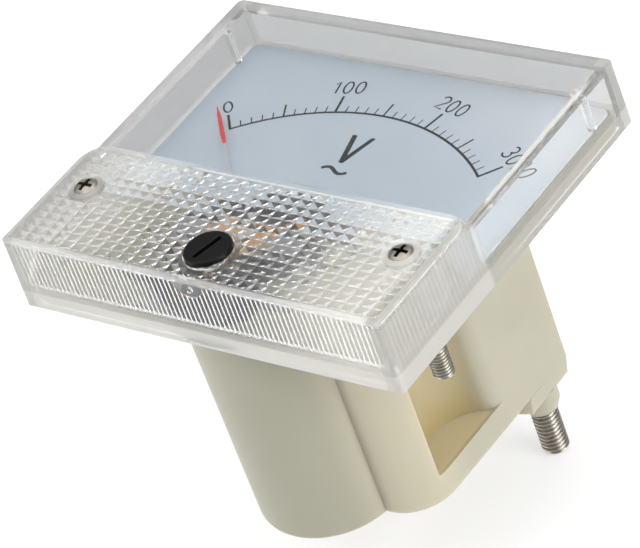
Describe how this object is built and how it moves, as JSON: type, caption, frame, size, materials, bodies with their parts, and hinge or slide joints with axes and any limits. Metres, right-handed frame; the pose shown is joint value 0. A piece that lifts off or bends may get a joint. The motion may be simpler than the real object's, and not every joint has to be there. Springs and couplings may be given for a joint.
{
  "type": "analog panel voltmeter",
  "caption": "Analogue panel voltmeter: rectangular clear cover with a prism block and zero adjuster, red-tipped pointer over a pale dial, deep moulded base with rear terminals.",
  "frame": {"origin": "midway between the two mounting studs, on the panel seat (the back of the flange)", "axes": "+X to the right of the dial, +Y to the top of the dial, +Z out of the dial face"},
  "size_m": [0.064, 0.056, 0.0614],
  "materials": {
    "base_moulding": "moulded, slight sheen",
    "clear_cover": "clear, polished",
    "plated_steel": "nickel plated",
    "black_plastic": "moulded",
    "brass_parts": "turned and stamped",
    "spring_bronze": "rolled strip",
    "dial_paint": "matt printed",
    "pointer_paint": "satin",
    "alloy": "stamped",
    "enamelled_copper": "wound wire",
    "magnet": "ground",
    "soft_iron": "zinc plated",
    "board": "laminate",
    "component_black": "moulded",
    "component_blue": "lacquered",
    "red_sleeve": "insulation",
    "dark_sleeve": "insulation"
  },
  "bodies": {
    "meter": {"housing": "base_moulding", "front_cover": "clear_cover", "cover_screws": "plated_steel", "mounting_studs": "plated_steel", "terminal_studs": "plated_steel", "dial_plate": "dial_paint", "dial_screws": "plated_steel", "rear_hairspring": "spring_bronze", "core_magnet": "magnet", "yoke_ring": "soft_iron", "movement_frame": "alloy", "front_bridge": "alloy", "rear_bridge": "brass_parts", "front_jewel_screw": "brass_parts", "rear_jewel_screw": "brass_parts", "jewel_lock_nuts": "plated_steel", "rear_bridge_screws": "plated_steel", "movement_screws": "plated_steel", "circuit_board": "board", "rectifier_diodes": "component_black", "series_resistor": "component_blue", "bridge_lead": "red_sleeve", "frame_lead": "dark_sleeve"},
    "moving_coil": {"pointer": "pointer_paint", "balance_weights": "brass_parts", "pivots": "plated_steel", "coil_former": "alloy", "coil_winding": "enamelled_copper"},
    "adjuster": {"zero_adjuster": "black_plastic", "adjuster_clip": "plated_steel"},
    "lever": {"zero_lever": "brass_parts", "front_hairspring": "spring_bronze"}
  },
  "joints": [
    {"name": "pointer_swing", "type": "hinge", "parent": "meter", "child": "moving_coil", "pos_m": [0, -0.0012, 0], "axis": [0, 0, -1], "range_deg": [0, 87], "stiffness_Nm_per_rad": 0.00003},
    {"name": "zero_adjust_turn", "type": "hinge", "parent": "meter", "child": "adjuster", "pos_m": [0, -0.0066, 0], "axis": [0, 0, 1], "range_deg": [-40, 40]},
    {"name": "zero_lever_swing", "type": "hinge", "parent": "meter", "child": "lever", "pos_m": [0, -0.0012, 0], "axis": [0, 0, 1], "range_deg": [-5, 5]}
  ],
  "couplings": [
    {"joint": "zero_lever_swing", "follows": "zero_adjust_turn", "ratio": -0.112}
  ]
}
